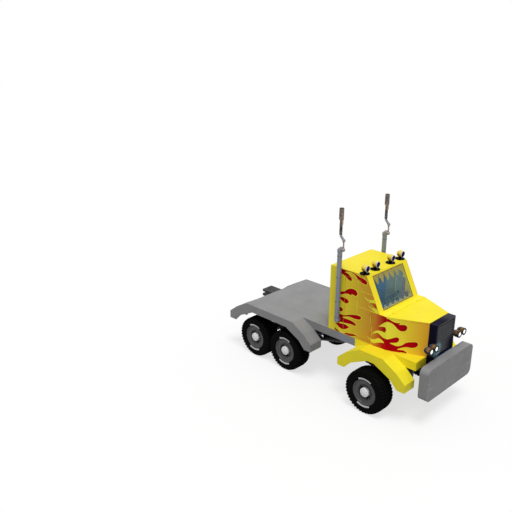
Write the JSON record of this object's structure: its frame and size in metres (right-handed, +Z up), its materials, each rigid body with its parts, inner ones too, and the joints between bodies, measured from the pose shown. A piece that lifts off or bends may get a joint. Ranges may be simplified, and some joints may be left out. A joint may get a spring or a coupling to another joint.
{
  "type": "semi truck tractor unit",
  "caption": "Conventional road tractor with flat load deck, angular wheel-arch fenders, opening doors and hood lid, steered front wheels, tandem rear axles and tall exhaust stacks.",
  "frame": {"origin": "on the ground, at the middle of the vehicle's overall box", "axes": "+Z up, -Y is the way the truck drives, +X is the driver's left"},
  "size_m": [2.604, 5.698, 4.3299],
  "materials": {
    "yellow_paint": "gloss",
    "grey_paint": "satin",
    "black_steel": "satin",
    "grille_black": "satin",
    "engine_iron": "matt",
    "glass": "clear",
    "dash_plastic": "matt",
    "seat_fabric": "matt",
    "stack_steel": "brushed",
    "tip_steel": "heat-stained",
    "lamp_chrome": "polished",
    "lamp_brass": "polished",
    "tyre": "matt",
    "rim_grey": "satin"
  },
  "bodies": {
    "chassis": {"frame_rails": "black_steel", "crossmembers": "black_steel", "load_deck": "grey_paint", "cab_base": "grey_paint", "front_base": "yellow_paint", "rear_fender_left": "grey_paint", "rear_fender_right": "grey_paint", "front_fender_left": "yellow_paint", "front_fender_right": "yellow_paint", "bumper": "grey_paint", "tow_hitch": "black_steel", "grille": "grille_black", "hood_shell": "yellow_paint", "engine_block": "engine_iron", "cab_shell": "yellow_paint", "windshield": "glass", "dashboard": "dash_plastic", "steering_wheel": "dash_plastic", "seat_bases": "black_steel", "seats": "seat_fabric", "exhaust_stacks": "stack_steel", "exhaust_tips": "tip_steel", "roof_lamps": "lamp_chrome", "headlamps": "lamp_brass", "front_axle": "black_steel", "leaf_springs": "black_steel", "rear_axles": "black_steel", "driveshafts": "black_steel"},
    "door_left": {"door_left": "yellow_paint"},
    "door_right": {"door_right": "yellow_paint"},
    "hood_lid": {"hood_lid": "yellow_paint"},
    "knuckle_left": {"knuckle_left": "engine_iron"},
    "knuckle_right": {"knuckle_right": "engine_iron"},
    "wheel_front_left": {"tyre_front_left": "tyre", "wheel_front_left": "rim_grey"},
    "wheel_front_right": {"tyre_front_right": "tyre", "wheel_front_right": "rim_grey"},
    "wheel_mid_left": {"tyre_mid_left": "tyre", "wheel_mid_left": "rim_grey"},
    "wheel_mid_right": {"tyre_mid_right": "tyre", "wheel_mid_right": "rim_grey"},
    "wheel_rear_left": {"tyre_rear_left": "tyre", "wheel_rear_left": "rim_grey"},
    "wheel_rear_right": {"tyre_rear_right": "tyre", "wheel_rear_right": "rim_grey"}
  },
  "joints": [
    {"name": "door_left_hinge", "type": "hinge", "parent": "chassis", "child": "door_left", "pos_m": [0.774, -1.266, 1.88], "axis": [0, 0, -1], "range_deg": [0, 70]},
    {"name": "door_right_hinge", "type": "hinge", "parent": "chassis", "child": "door_right", "pos_m": [-0.774, -1.266, 1.88], "axis": [0, 0, 1], "range_deg": [0, 70]},
    {"name": "hood_lid_hinge", "type": "hinge", "parent": "chassis", "child": "hood_lid", "pos_m": [0, -1.657, 2.177], "axis": [-1, 0, 0], "range_deg": [0, 60]},
    {"name": "steer_left", "type": "hinge", "parent": "chassis", "child": "knuckle_left", "pos_m": [0.93, -1.563, 0.51], "axis": [0, 0, 1], "range_deg": [-30, 30]},
    {"name": "steer_right", "type": "hinge", "parent": "chassis", "child": "knuckle_right", "pos_m": [-0.93, -1.563, 0.51], "axis": [0, 0, 1], "range_deg": [-30, 30]},
    {"name": "spin_front_left", "type": "hinge", "parent": "knuckle_left", "child": "wheel_front_left", "pos_m": [1.1095, -1.563, 0.51], "axis": [1, 0, 0], "continuous": true},
    {"name": "spin_front_right", "type": "hinge", "parent": "knuckle_right", "child": "wheel_front_right", "pos_m": [-1.1095, -1.563, 0.51], "axis": [1, 0, 0], "continuous": true},
    {"name": "spin_mid_left", "type": "hinge", "parent": "chassis", "child": "wheel_mid_left", "pos_m": [0.9315, 0.945, 0.51], "axis": [1, 0, 0], "continuous": true},
    {"name": "spin_mid_right", "type": "hinge", "parent": "chassis", "child": "wheel_mid_right", "pos_m": [-0.9315, 0.945, 0.51], "axis": [1, 0, 0], "continuous": true},
    {"name": "spin_rear_left", "type": "hinge", "parent": "chassis", "child": "wheel_rear_left", "pos_m": [0.9315, 1.975, 0.51], "axis": [1, 0, 0], "continuous": true},
    {"name": "spin_rear_right", "type": "hinge", "parent": "chassis", "child": "wheel_rear_right", "pos_m": [-0.9315, 1.975, 0.51], "axis": [1, 0, 0], "continuous": true}
  ],
  "couplings": [
    {"joint": "steer_right", "follows": "steer_left", "ratio": 1}
  ]
}
